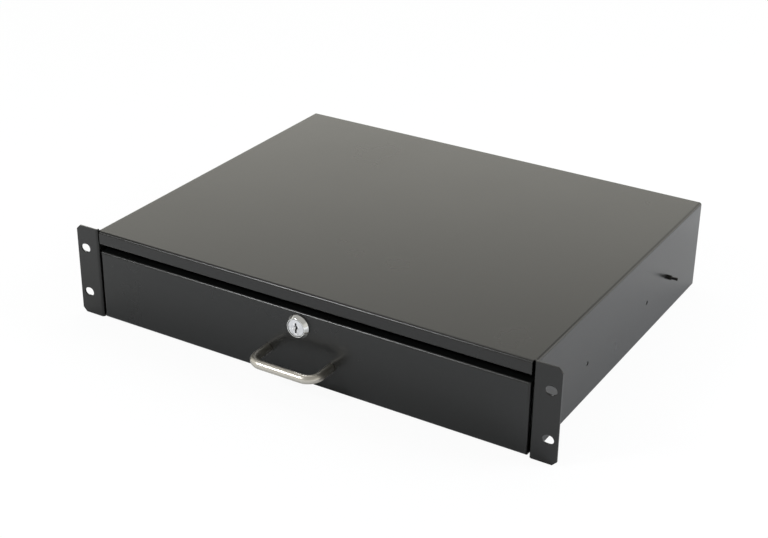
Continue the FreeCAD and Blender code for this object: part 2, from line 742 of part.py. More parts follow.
def make_ball_cage(name, near, far, top_race):
    """The strip cage that spaces the balls, with both rows of balls in it."""
    middle = f"({top_race} - {BALL_GAP} / 2)"
    top = f"({middle} + Size.CageStrip / 2)"
    inner = f"({middle} - Size.CageStrip / 2)"
    web = f"({near} + Size.CageSheet)"
    outline = [(near, f"-{top}"), (near, top), (far, top), (far, inner), (web, inner),
               (web, f"-{inner}"), (far, f"-{inner}"), (far, f"-{top}")]
    body = new_body(f"right_{name}_cage")
    sketch = sketch_on(body, "section", "XZ_Plane", f"-({CAGE_FRONT})")
    polygon(sketch, [(from_wall(depth), f"({RAIL_Z} + {up})") for depth, up in outline])
    extrude(body, "strip", "Pad", sketch, CAGE_LENGTH, True)
    across = from_wall(f"({web} + {far}) / 2")
    places = spaced(f"({CAGE_FRONT} + Size.BallEndRoom)",
                    f"({CAGE_FRONT} + {CAGE_LENGTH} - Size.BallEndRoom)",
                    int(number("Size.BallsInRow")))
    seats = sketch_on(body, "seats_sketch", "XY_Plane", f"({RAIL_Z} - {top} - {PAST})")
    for place in places:
        circle(seats, across, place, "Size.BallDiameter")
    extrude(body, "seats", "Pocket", seats, f"2 * ({top} + {PAST})", True)
    mirror(body, f"left_{name}_cage")
    for side, sign in (("right", ""), ("left", "-")):
        balls = []
        for sign_up in "+-":
            for place in places:
                ball = doc.addObject("Part::Sphere", f"{side}_{name}_ball")
                ball.setExpression("Radius", "Size.BallDiameter / 2")
                balls.append(put(ball, (sign + across, place, f"{RAIL_Z} {sign_up} {middle}"), (0, 0, 1)))
        group(f"{side}_{name}_balls", balls)


def make_ball_cages():
    near = "(Size.RailSheet + Size.CageWebGap)"
    far = "(Size.CabinetRailDepth - Size.RailSheet - Size.CageMouthGap)"
    make_ball_cage("outer", near, far, f"({CABINET_TOP} - Size.RailSheet)")
    near = f"(Size.MiddleRailInset + {near})"
    far = "(Size.MiddleRailInset + Size.MiddleRailDepth - Size.RailSheet - Size.CageMouthGap)"
    make_ball_cage("inner", near, far, f"({MIDDLE_TOP} - Size.RailSheet)")


def make_rail_buffer():
    """The rubber block at the back of the cabinet rail, which the middle rail stops against."""
    body = new_body("right_rail_buffer")
    near = from_wall("Size.CabinetRailDepth - Size.RailSheet - Size.BufferFit")
    far = from_wall("Size.RailSheet")
    half = f"({CABINET_TOP} - Size.RailSheet - Size.BufferFit)"
    add_block(body, "block", [(near, far, f"{RAIL_BACK} - Size.BufferLength", RAIL_BACK)],
              f"({RAIL_Z} - {half})", f"({RAIL_Z} + {half})")
    middle = f"({RAIL_BACK} - Size.BufferLength / 2)"
    edges = [(side, middle, f"{RAIL_Z} {sign} {half}") for side in (near, far) for sign in "+-"]
    round_edges(body, "corners", edges, "2 * Size.RailBend")
    mirror(body, "left_rail_buffer")


def make_wall_screws():
    """Countersunk screws from the cabinet rail into tapped holes of the side wall."""
    face = from_wall("Size.RailSheet")
    width = countersunk_head("Size.WallScrewDiameter")
    reach = "(Size.RailSheet + Size.HousingSheet - Size.WallScrewRecess)"
    for side, sign in (("right", 1), ("left", -1)):
        minus = "-" if sign < 0 else ""
        screws = []
        for index, place in enumerate(WALL_SCREW_PLACES):
            spot = (minus + face, place, RAIL_Z)
            name = f"{side}_wall_screw_{index}"
            head = cone(f"{name}_head", width, "Size.WallScrewDiameter", SINK, spot, (sign, 0, 0))
            shank = cylinder(f"{name}_shank", "Size.WallScrewDiameter", reach, spot, (sign, 0, 0))
            blank = fuse(f"{name}_blank", [head, shank])
            socket = hexagon(f"{name}_socket", "Size.SocketFlats", "Size.SocketDepth", spot, (sign, 0, 0))
            screws.append(cut(name, blank, socket))
        group(f"{side}_wall_screws", screws)


def make_back_studs():
    """The long screw at the back of each cabinet rail, and its threaded collar outside the wall."""
    face = from_wall("Size.RailSheet")
    width = countersunk_head("Size.StudDiameter")
    reach = "(Size.RailSheet + Size.HousingSheet + Size.StudReach)"
    for side, sign in (("right", 1), ("left", -1)):
        minus = "-" if sign < 0 else ""
        spot = (minus + face, STUD_Y, STUD_Z)
        head = cone(f"{side}_stud_head", width, "Size.StudDiameter", SINK, spot, (sign, 0, 0))
        shank = cylinder(f"{side}_stud_shank", "Size.StudDiameter", reach, spot, (sign, 0, 0))
        keep(fuse(f"{side}_back_screw", [head, shank]))
        outside = (minus + HALF, STUD_Y, STUD_Z)
        plain = "(Size.StudCollarHeight - Size.StudCollarBevel)"
        collar = cylinder(f"{side}_collar_wall", "Size.StudCollar", plain, outside, (sign, 0, 0))
        shoulder = (f"{minus}({HALF} + {plain})", STUD_Y, STUD_Z)
        bevel = cone(f"{side}_collar_bevel", "Size.StudCollar", "Size.StudCollar - 2 * Size.StudCollarBevel",
                     "Size.StudCollarBevel", shoulder, (sign, 0, 0))
        blank = fuse(f"{side}_collar_blank", [collar, bevel])
        bore = cylinder(f"{side}_collar_bore", "Size.StudDiameter", "Size.StudCollarHeight",
                        outside, (sign, 0, 0))
        keep(cut(f"{side}_back_collar", blank, bore))


# Drawer -------------------------------------------------------------------------------------------

HANDLE_PLACES = [f"({side}Size.HandleCentres / 2)" for side in ("-", "")]
PANEL_STUD_PLACES = [
    (f"({side}({TRAY_HALF} - Size.PanelStudInset))", height)
    for side in ("-", "")
    for height in (f"({BASE} + Size.PanelStudRise)", f"({FRONT_HIGH} - Size.PanelStudDrop)")
]


def make_drawer_tray():
    """The open tray, folded from thinner sheet."""
    body = new_body("drawer_tray")
    middle = f"(({TRAY_FRONT} + {TRAY_BACK}) / 2)"
    add_block(body, "outside", [(f"-{TRAY_HALF}", TRAY_HALF, TRAY_FRONT, TRAY_BACK)], TRAY_LOW, TRAY_RIM)
    outside = [(side + TRAY_HALF, middle, TRAY_LOW) for side in ("-", "")]
    outside += [("0", TRAY_BACK, TRAY_LOW), ("0", TRAY_FRONT, TRAY_LOW)]
    round_edges(body, "outer_bends", outside, "Size.BendInside + Size.TraySheet")
    inner_half = f"({TRAY_HALF} - Size.TraySheet)"
    floor = f"({TRAY_LOW} + Size.TraySheet)"
    inner_back = f"({TRAY_BACK} - Size.TraySheet)"
    above = f"({TRAY_RIM} + {PAST})"
    cut_block(body, "inside", [(f"-{inner_half}", inner_half, TRAY_INNER_FRONT, inner_back)], floor, above)
    inside = [(side + inner_half, middle, floor) for side in ("-", "")]
    inside += [("0", inner_back, floor), ("0", TRAY_INNER_FRONT, floor)]
    round_edges(body, "inner_bends", inside, "Size.BendInside")
    side = (f"{TRAY_HALF} - Size.TrayCornerNotch", f"{TRAY_HALF} + {PAST}")
    corners = both_sides(*side, f"{TRAY_FRONT} - {PAST}", f"{TRAY_FRONT} + Size.TrayCornerNotch")
    corners += both_sides(*side, f"{TRAY_BACK} - Size.TrayCornerNotch", f"{TRAY_BACK} + {PAST}")
    cut_block(body, "corner_notches", corners, f"({TRAY_LOW} - {PAST})", f"{TRAY_LOW} + Size.TrayCornerNotch")
    notch = "(Size.LockNutFlats / sqrt(3) + Size.LockNotchRoom)"
    before = f"{TRAY_FRONT} - {PAST}"
    behind = f"{TRAY_INNER_FRONT} + {PAST}"
    cut_block(body, "lock_notch", [(f"-{notch}", notch, before, behind)], f"({LOCK_Z} - {notch})", above)

    def draw_front_holes(sketch):
        for across in HANDLE_PLACES:
            circle(sketch, across, HANDLE_Z, "Size.HandleScrewDiameter + Size.HoleSlack")
        for across, up in PANEL_STUD_PLACES:
            circle(sketch, across, up, "Size.PanelStudDiameter + Size.HoleSlack")

    pierce_back(body, "front_holes", TRAY_FRONT, "Size.TraySheet", draw_front_holes)

    def draw_side_holes(sketch):
        for place in TRAY_SCREW_PLACES:
            circle(sketch, place, RAIL_Z, "Size.TrayScrewDiameter + Size.HoleSlack")

    pierce_across(body, "side_holes", TRAY_HALF, draw_side_holes)


def make_front_panel():
    """The drawer's front, a shallow pan with studs welded to its back."""
    body = new_body("front_panel")
    middle = f"(({FRONT_LOW} + {FRONT_HIGH}) / 2)"
    add_block(body, "outside", [(f"-{FRONT_HALF}", FRONT_HALF, "0", "Size.FrontReturn")],
              FRONT_LOW, FRONT_HIGH)
    edges = [("0", "0", height) for height in (FRONT_LOW, FRONT_HIGH)]
    edges += [(side + FRONT_HALF, "0", middle) for side in ("-", "")]
    round_edges(body, "outer_bends", edges, "Size.BendInside + Size.FrontSheet")
    inner = f"({FRONT_HALF} - Size.FrontSheet)"
    floor = f"({FRONT_LOW} + Size.FrontSheet)"
    ceiling = f"({FRONT_HIGH} - Size.FrontSheet)"
    cut_block(body, "inside", [(f"-{inner}", inner, "Size.FrontSheet", f"Size.FrontReturn + {PAST}")],
              floor, ceiling)
    edges = [("0", "Size.FrontSheet", height) for height in (floor, ceiling)]
    edges += [(side + inner, "Size.FrontSheet", middle) for side in ("-", "")]
    round_edges(body, "inner_bends", edges, "Size.BendInside")

    studs = sketch_on(body, "studs_sketch", "XZ_Plane", "-Size.FrontSheet")
    for across, up in PANEL_STUD_PLACES:
        circle(studs, across, up, "Size.PanelStudDiameter")
    extrude(body, "studs", "Pad", studs, "Size.PanelStudLength", True)

    def draw_holes(sketch):
        circle(sketch, "0", LOCK_Z, "Size.BarrelDiameter + Size.BarrelHoleSlack")
        for across in HANDLE_PLACES:
            circle(sketch, across, HANDLE_Z, "Size.HandleScrewDiameter + Size.HoleSlack")

    pierce_back(body, "holes", "0", "Size.FrontSheet", draw_holes)


def make_panel_nuts():
    """Flanged nuts inside the tray, on the front panel's studs."""
    nuts = []
    inwards = (0, 1, 0)
    for index, (across, up) in enumerate(PANEL_STUD_PLACES):
        spot = (across, TRAY_INNER_FRONT, up)
        name = f"panel_nut_{index}"
        flange = cylinder(f"{name}_flange", "Size.PanelNutFlange", "Size.PanelNutFlangeHeight", spot, inwards)
        flats = hexagon(f"{name}_flats", "Size.PanelNutFlats", "Size.PanelNutHeight", spot, inwards)
        blank = fuse(f"{name}_blank", [flange, flats])
        bore = cylinder(f"{name}_bore", "Size.PanelStudDiameter", "Size.PanelNutHeight", spot, inwards)
        nuts.append(cut(name, blank, bore))
    group("front_panel_nuts", nuts)


def make_tray_screws():
    """Pan-head screws from inside the tray into the drawer rails."""
    for side, sign in (("right", 1), ("left", -1)):
        minus = "-" if sign < 0 else ""
        screws = []
        face = f"{minus}({TRAY_HALF} - Size.TraySheet)"
        for index, place in enumerate(TRAY_SCREW_PLACES):
            spot = (face, place, RAIL_Z)
            name = f"{side}_tray_screw_{index}"
            head = pan_head(name, "Size.TrayScrewHead", "Size.TrayScrewHeadHeight", spot, (-sign, 0, 0))
            reach = "(Size.TraySheet + Size.TrayScrewReach)"
            shank = cylinder(f"{name}_shank", "Size.TrayScrewDiameter", reach, spot, (sign, 0, 0))
            screws.append(fuse(name, [head, shank]))
        group(f"{side}_tray_screws", screws)


def pan_head(name, width, height, spot, direction):
    """A low domed screw head with a hexagon socket, standing on spot."""
    rim = cylinder(f"{name}_rim", width, f"({height}) / 2", spot, direction)
    step = [f"({base}) + {part} * ({height}) / 2" for base, part in zip(spot, direction)]
    crown = cone(f"{name}_crown", width, f"({width}) * {PAN_HEAD_TOP}", f"({height}) / 2", step, direction)
    blank = fuse(f"{name}_blank", [rim, crown])
    end = [f"({base}) + {part} * (({height}) - Size.SocketDepth)" for base, part in zip(spot, direction)]
    socket = hexagon(f"{name}_socket", "Size.SocketFlats", "Size.SocketDepth", end, direction)
    return cut(f"{name}_head", blank, socket)


def make_pull_handle():
    """A round bar bent twice, its feet bored for the screws that hold it."""
    body = new_body("pull_handle")
    half = "(Size.HandleCentres / 2)"
    leg = "(Size.HandleReach - Size.HandleBend)"
    end, knee, bend = [number(value) for value in (half, leg, "Size.HandleBend")]
    path = sketch_on(body, "path", "XY_Plane", HANDLE_Z)
    left = FreeCAD.Vector(bend - end, -knee, 0)
    right = FreeCAD.Vector(end - bend, -knee, 0)
    out = FreeCAD.Vector(0, -bend, 0)
    normal = FreeCAD.Vector(0, 0, 1)
    path.addGeometry(Part.LineSegment(FreeCAD.Vector(-end, 0, 0), FreeCAD.Vector(-end, -knee, 0)))
    path.addGeometry(Part.ArcOfCircle(Part.Circle(left, normal, bend), math.pi, 1.5 * math.pi))
    path.addGeometry(Part.LineSegment(left + out, right + out))
    path.addGeometry(Part.ArcOfCircle(Part.Circle(right, normal, bend), 1.5 * math.pi, 2 * math.pi))
    path.addGeometry(Part.LineSegment(FreeCAD.Vector(end, -knee, 0), FreeCAD.Vector(end, 0, 0)))
    for pair in ((0, 2, 1, 1), (1, 2, 2, 1), (2, 2, 3, 1), (3, 2, 4, 1)):
        path.addConstraint(Sketcher.Constraint("Tangent", *pair))
    path.addConstraint(Sketcher.Constraint("PointOnObject", 0, 1, -1))
    path.addConstraint(Sketcher.Constraint("PointOnObject", 4, 2, -1))
    constrain(path, f"-{half}", "DistanceX", -1, 1, 0, 1)
    constrain(path, half, "DistanceX", -1, 1, 4, 2)
    constrain(path, "Size.HandleBend", "Radius", 1)
    constrain(path, "Size.HandleBend", "Radius", 3)
    pin(path, 1, 3, f"-{half} + Size.HandleBend", f"-{leg}")
    profile = sketch_on(body, "section", "XZ_Plane")
    circle(profile, f"-{half}", HANDLE_Z, "Size.HandleDiameter")
    pipe = body.newObject("PartDesign::AdditivePipe", "bar")
    pipe.Profile = profile
    pipe.Spine = (path, [])
    body.Tip = pipe
    doc.recompute()

    def draw_bores(sketch):
        for across in HANDLE_PLACES:
            circle(sketch, across, HANDLE_Z, "Size.HandleScrewDiameter")

    drill_back(body, "bores", "-Size.HandleBoreDepth", "Size.HandleBoreDepth", draw_bores)


def make_handle_screws():
    screws = []
    washers = []
    inwards = (0, 1, 0)
    seat = f"({TRAY_INNER_FRONT} + Size.HandleWasherHeight)"
    for index, across in enumerate(HANDLE_PLACES):
        spot = (across, TRAY_INNER_FRONT, HANDLE_Z)
        disc = cylinder(f"handle_washer_disc_{index}", "Size.HandleWasher", "Size.HandleWasherHeight",
                        spot, inwards)
        bore = cylinder(f"handle_washer_bore_{index}", "Size.HandleScrewDiameter",
                        "Size.HandleWasherHeight", spot, inwards)
        washers.append(cut(f"handle_washer_{index}", disc, bore))
        under = (across, seat, HANDLE_Z)
        name = f"handle_screw_{index}"
        head = pan_head(name, "Size.HandleScrewHead", "Size.HandleScrewHeadHeight", under, inwards)
        shank = cylinder(f"{name}_shank", "Size.HandleScrewDiameter", f"{seat} + Size.HandleScrewDepth",
                         under, (0, -1, 0))
        screws.append(fuse(name, [head, shank]))
    group("handle_washers", washers)
    group("handle_screws", screws)


# Lock ---------------------------------------------------------------------------------------------
# The turned pieces are drawn on the Y axis and raised to the lock's height by their Placement.

BORE = "(Size.PlugBody / 2 + Size.PlugSlack)"


def turn(body, name, outline):
    """Turns an outline in Y and radius about the Y axis. Its last edge lies on or beside the axis."""
    sketch = sketch_on(body, f"{name}_sketch", "YZ_Plane")
    polygon(sketch, outline)
    spin(body, name, "Revolution", sketch, "H_Axis")


def raise_to_lock(body):
    body.setExpression("Placement.Base.z", LOCK_Z)


def make_lock_barrel():
    """The bezel and the threaded barrel behind it, in one piece."""
    body = new_body("lock_barrel")
    face = "(-Size.BezelStand)"
    ring = "(Size.PlugFace / 2 + Size.PlugRingGap)"
    edge = f"({ring} + Size.BezelRim)"
    step = f"({face} + Size.PlugFaceInset + Size.PlugFaceDepth + Size.PlugRingGap)"
    turn(body, "barrel", [
        (face, ring),
        (face, edge),
        ("-Size.BezelFoot", "Size.BezelBase / 2"),
        ("0", "Size.BezelBase / 2"),
        ("0", "Size.BarrelDiameter / 2"),
        ("Size.BarrelLength", "Size.BarrelDiameter / 2"),
        ("Size.BarrelLength", BORE),
        (step, BORE),
        (step, ring),
    ])
    rim = [("0", face, edge)]
    round_edges(body, "bezel_edge", rim, "Size.BezelEdge")
    raise_to_lock(body)


def make_lock_plug():
    """The plug that the key turns, with its square end for the cam."""
    body = new_body("lock_plug")
    face = "(Size.PlugFaceInset - Size.BezelStand)"
    shoulder = f"({face} + Size.PlugFaceDepth)"
    turn(body, "plug", [
        (face, "0"),
        (face, "Size.PlugFace / 2"),
        (shoulder, "Size.PlugFace / 2"),
        (shoulder, "Size.PlugBody / 2"),
        (CAM_FRONT, "Size.PlugBody / 2"),
        (CAM_FRONT, "0"),
    ])
    half = "(Size.CamSquare / 2)"
    square = sketch_on(body, "square_sketch", "XZ_Plane", f"-({CAM_FRONT})")
    rectangle(square, f"-{half}", half, f"-{half}", half)
    extrude(body, "square", "Pad", square, "Size.CamSheet", True)

    dish = sketch_on(body, "dish_sketch", "YZ_Plane")
    polygon(dish, [(face, "0"), (face, "Size.KeyDish / 2"), (f"{face} + Size.KeyDishDepth", "0")])
    spin(body, "dish", "Groove", dish, "H_Axis")

    def draw_key_slot(sketch):
        rectangle(sketch, "-Size.KeySlotWidth / 2", "Size.KeySlotWidth / 2",
                  "-Size.KeySlotHeight / 2", "Size.KeySlotHeight / 2")

    drill_back(body, "key_slot", face, "Size.KeySlotDepth", draw_key_slot)

    def draw_screw_bore(sketch):
        circle(sketch, "0", "0", "Size.CamScrewDiameter")

    bore_front = f"({CAM_FRONT} + Size.CamSheet - Size.CamScrewDepth)"
    drill_back(body, "screw_bore", bore_front, f"Size.CamScrewDepth + {PAST}", draw_screw_bore)
    raise_to_lock(body)


def make_lock_nut():
    inwards = (0, 1, 0)
    spot = ("0", "Size.FrontSheet", LOCK_Z)
    flats = hexagon("lock_nut_flats", "Size.LockNutFlats", "Size.LockNutHeight", spot, inwards)
    bore = cylinder("lock_nut_bore", "Size.BarrelDiameter", "Size.LockNutHeight", spot, inwards)
    keep(cut("lock_nut", flats, bore))


def make_lock_cam():
    """The flat cam. At rest it lies to the left, and a quarter turn lifts it behind the strike."""
    body = new_body("lock_cam")
    half = "(Size.CamWidth / 2)"
    sketch = sketch_on(body, "outline", "XZ_Plane", f"-({CAM_FRONT})")
    rectangle(sketch, f"-{CAM_REACH}", half, f"-{half}", half)
    extrude(body, "blade", "Pad", sketch, "Size.CamSheet", True)
    middle = f"({CAM_FRONT} + Size.CamSheet / 2)"
    heel = [(half, middle, sign + half) for sign in ("-", "")]
    round_edges(body, "heel", heel, f"{half} - Size.BezelEdge")
    tip = [(f"-{CAM_REACH}", middle, sign + half) for sign in ("-", "")]
    round_edges(body, "tip", tip, "Size.CamSheet")
    square = "(Size.CamSquare / 2)"

    def draw_square(sketch):
        rectangle(sketch, f"-{square}", square, f"-{square}", square)

    pierce_back(body, "square_hole", CAM_FRONT, "Size.CamSheet", draw_square)
    raise_to_lock(body)


def make_cam_screw():
    spot = ("0", f"{CAM_FRONT} + Size.CamSheet", LOCK_Z)
    head = pan_head("cam_screw", "Size.CamScrewHead", "Size.CamScrewHeadHeight", spot, (0, 1, 0))
    shank = cylinder("cam_screw_shank", "Size.CamScrewDiameter", "Size.CamScrewDepth", spot, (0, -1, 0))
    keep(fuse("lock_cam_screw", [head, shank]))


make_housing_shell()
make_rear_panel()
make_rear_panel_rivets()
make_lock_strike()
make_cabinet_rail()
make_middle_rail()
make_drawer_rail()
make_ball_cages()
make_rail_buffer()
make_wall_screws()
make_back_studs()
make_drawer_tray()
make_front_panel()
make_panel_nuts()
make_tray_screws()
make_pull_handle()
make_handle_screws()
make_lock_barrel()
make_lock_nut()
make_lock_plug()
make_lock_cam()
make_cam_screw()

doc.recompute()

for item in doc.Objects:
    if "Invalid" in item.State or "Error" in item.State:
        raise ValueError(f"{item.Label} failed: {item.State}")
for part in parts:
    if part.Shape.isNull() or not part.Shape.isValid():
        raise ValueError(f"{part.Label} has no valid shape")

os.makedirs("parts", exist_ok=True)
for part in parts:
    part.Shape.exportStep(f"parts/{part.Label}.step")
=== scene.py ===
"""The looks of a sliding drawer for a 19-inch rack, two units high.

Black powder-coated sheet, a satin nickel pull, a chrome cam lock and zinc-plated telescopic rails.
Metres, with X to the right, Y to the back and Z up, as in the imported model.
"""
import json
import math

import bmesh
import bpy
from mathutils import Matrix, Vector


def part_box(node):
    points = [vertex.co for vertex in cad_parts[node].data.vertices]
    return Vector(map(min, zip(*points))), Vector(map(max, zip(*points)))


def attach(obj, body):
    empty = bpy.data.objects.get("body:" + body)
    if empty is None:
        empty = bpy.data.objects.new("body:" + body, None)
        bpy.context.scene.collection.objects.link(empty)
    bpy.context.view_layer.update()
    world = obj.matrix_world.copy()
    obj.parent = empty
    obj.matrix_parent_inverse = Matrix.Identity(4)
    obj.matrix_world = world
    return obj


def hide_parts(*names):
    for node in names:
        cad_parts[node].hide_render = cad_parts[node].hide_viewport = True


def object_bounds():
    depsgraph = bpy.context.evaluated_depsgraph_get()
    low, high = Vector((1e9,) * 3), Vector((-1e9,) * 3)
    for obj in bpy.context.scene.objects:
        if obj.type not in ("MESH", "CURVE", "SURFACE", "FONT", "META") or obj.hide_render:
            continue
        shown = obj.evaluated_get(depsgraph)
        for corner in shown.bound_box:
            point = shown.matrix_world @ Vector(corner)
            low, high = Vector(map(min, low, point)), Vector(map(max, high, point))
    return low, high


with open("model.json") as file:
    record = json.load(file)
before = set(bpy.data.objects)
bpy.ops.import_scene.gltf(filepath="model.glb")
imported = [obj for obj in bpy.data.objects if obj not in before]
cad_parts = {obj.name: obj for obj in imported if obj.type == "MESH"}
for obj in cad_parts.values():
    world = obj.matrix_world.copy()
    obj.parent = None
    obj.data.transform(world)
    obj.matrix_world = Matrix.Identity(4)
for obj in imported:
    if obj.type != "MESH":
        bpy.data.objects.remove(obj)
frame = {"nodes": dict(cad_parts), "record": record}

cad_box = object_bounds()
MM = 0.001
# Corners nearer to each other than this are one corner.
SAME_POINT = 0.001 * MM

# Materials ----------------------------------------------------------------------------------------


def linear(colour):
    """The linear colour of an sRGB hex value."""
    channels = [int(colour[start:start + 2], 16) / 255 for start in (1, 3, 5)]
    bent = [c / 12.92 if c <= 0.04045 else ((c + 0.055) / 1.055) ** 2.4 for c in channels]
    return (*bent, 1.0)


def per_metre(size):
    """A texture's scale for a pattern whose features are this many millimetres apart."""
    return 1 / (size * MM)


def add_node(tree, kind, settings, links=None):
    """Adds a shader node, sets its fields and sockets, and links other nodes' outputs into it."""
    node = tree.nodes.new(kind)
    for name, value in settings.items():
        if isinstance(name, int) or name in node.inputs:
            node.inputs[name].default_value = value
        else:
            setattr(node, name, value)
    for name, output in (links or {}).items():
        tree.links.new(output, node.inputs[name])
    return node


def begin_material(name, settings):
    """A material with a principled shader, and the object coordinates that its patterns read."""
    material = bpy.data.materials.new(name)
    material.use_nodes = True
    tree = material.node_tree
    tree.nodes.clear()
    shader = add_node(tree, "ShaderNodeBsdfPrincipled", settings)
    add_node(tree, "ShaderNodeOutputMaterial", {}, {"Surface": shader.outputs["BSDF"]})
    place = add_node(tree, "ShaderNodeTexCoord", {}).outputs["Object"]
    return material, tree, shader, place


# How far the coat's roughness swings either way, how many cells hold a speck, and the specks' colour.
HAZE_SWING = 0.015
SPECK_SHARE = 0.6
DUST = "#a7a49c"


def powder_coat(name, colour, dusty, roughness):
    """Polyester powder coat, satin, sprayed and baked on folded steel.

    It gives the eye a soft even sheen that greys towards grazing angles, a pebbled skin that is
    only just felt, hazy patches from handling, and a few pale specks of dust.
    """
    material, tree, shader, place = begin_material(name, {"IOR": 1.45})
    # Baked powder flows out into pebbles under a millimetre wide, drawn at 1.5 mm so that they show.
    pebbles = add_node(tree, "ShaderNodeTexNoise", {"Scale": per_metre(1.5), "Detail": 3.0},
                       {"Vector": place})
    skin = add_node(tree, "ShaderNodeBump", {"Strength": 0.22, "Distance": 0.05 * MM},
                    {"Height": pebbles.outputs["Fac"]})
    # Handling leaves hazy patches about 110 mm across.
    haze = add_node(tree, "ShaderNodeTexNoise",
                    {"Scale": per_metre(110), "Detail": 4.0, "Roughness": 0.6}, {"Vector": place})
    sheen = add_node(tree, "ShaderNodeMapRange",
                     {"From Min": 0.3, "From Max": 0.7, "To Min": roughness - HAZE_SWING,
                      "To Max": roughness + HAZE_SWING}, {"Value": haze.outputs["Fac"]})
    # Specks of dust under half a millimetre wide lie about 17 mm apart, in six cells of ten.
    cells = add_node(tree, "ShaderNodeTexVoronoi", {"Scale": per_metre(17)}, {"Vector": place})
    speck = add_node(tree, "ShaderNodeMapRange",
                     {"From Min": 0.011, "From Max": 0.02, "To Min": 0.55, "To Max": 0.0},
                     {"Value": cells.outputs["Distance"]})
    drawn = add_node(tree, "ShaderNodeSeparateColor", {}, {"Color": cells.outputs["Color"]})
    chosen = add_node(tree, "ShaderNodeMath", {"operation": "LESS_THAN", 1: SPECK_SHARE},
                      {0: drawn.outputs["Red"]})
    shown = add_node(tree, "ShaderNodeMath", {"operation": "MULTIPLY"},
                     {0: speck.outputs["Result"], 1: chosen.outputs["Value"]})
    tone = add_node(tree, "ShaderNodeMix", {"data_type": "RGBA", 6: linear(colour), 7: linear(dusty)},
                    {0: haze.outputs["Fac"]})
    coat = add_node(tree, "ShaderNodeMix", {"data_type": "RGBA", 7: linear(DUST)},
                    {0: shown.outputs["Value"], 6: tone.outputs[2]})
    tree.links.new(coat.outputs[2], shader.inputs["Base Color"])
    tree.links.new(sheen.outputs["Result"], shader.inputs["Roughness"])
    tree.links.new(skin.outputs["Normal"], shader.inputs["Normal"])
    return material


def plated_metal(name, light, dark, roughness, grain, stretch, depth):
    """Plated or polished metal with a fine grain.

    It gives the eye a clean highlight that the grain only just softens, with slightly darker patches.
    """
    material, tree, shader, place = begin_material(name, {"Metallic": 1.0})
    drawn = add_node(tree, "ShaderNodeMapping", {"Scale": stretch}, {"Vector": place})
    lines = add_node(tree, "ShaderNodeTexNoise", {"Scale": per_metre(grain), "Detail": 3.0},
                     {"Vector": drawn.outputs["Vector"]})
    # The plating's tone wanders over about 12 mm.
    patches = add_node(tree, "ShaderNodeTexNoise", {"Scale": per_metre(12), "Detail": 3.0},
                       {"Vector": place})
    tone = add_node(tree, "ShaderNodeMix", {"data_type": "RGBA", 6: linear(light), 7: linear(dark)},
                    {0: patches.outputs["Fac"]})
    sheen = add_node(tree, "ShaderNodeMapRange",
                     {"From Min": 0.3, "From Max": 0.7, "To Min": roughness * 0.93,
                      "To Max": roughness * 1.08}, {"Value": lines.outputs["Fac"]})
    relief = add_node(tree, "ShaderNodeBump", {"Strength": depth, "Distance": 0.02 * MM},
                      {"Height": lines.outputs["Fac"]})
    tree.links.new(tone.outputs[2], shader.inputs["Base Color"])
    tree.links.new(sheen.outputs["Result"], shader.inputs["Roughness"])
    tree.links.new(relief.outputs["Normal"], shader.inputs["Normal"])
    return material


def moulded_polymer(name, colour, worn, roughness, grain):
    """Moulded plastic or rubber.

    It gives the eye a dull even black with a fine spark-eroded grain and paler rubbed patches.
    """
    material, tree, shader, place = begin_material(name, {"IOR": 1.48})
    pits = add_node(tree, "ShaderNodeTexNoise", {"Scale": per_metre(grain), "Detail": 2.0},
                    {"Vector": place})
    # Rubbed patches are about 8 mm across.
    rubbed = add_node(tree, "ShaderNodeTexNoise", {"Scale": per_metre(8), "Detail": 3.0},
                      {"Vector": place})
    tone = add_node(tree, "ShaderNodeMix", {"data_type": "RGBA", 6: linear(colour), 7: linear(worn)},
                    {0: rubbed.outputs["Fac"]})
    sheen = add_node(tree, "ShaderNodeMapRange", {"To Min": roughness - 0.06, "To Max": roughness + 0.06},
                     {"Value": rubbed.outputs["Fac"]})
    relief = add_node(tree, "ShaderNodeBump", {"Strength": 0.25, "Distance": 0.05 * MM},
                      {"Height": pits.outputs["Fac"]})
    tree.links.new(tone.outputs[2], shader.inputs["Base Color"])
    tree.links.new(sheen.outputs["Result"], shader.inputs["Roughness"])
    tree.links.new(relief.outputs["Normal"], shader.inputs["Normal"])
    return material


# A grain that runs every way, and grains drawn out along an axis.
EVEN = (1.0, 1.0, 1.0)
ALONG_X = (0.04, 1.0, 1.0)
ALONG_Y = (1.0, 0.04, 1.0)

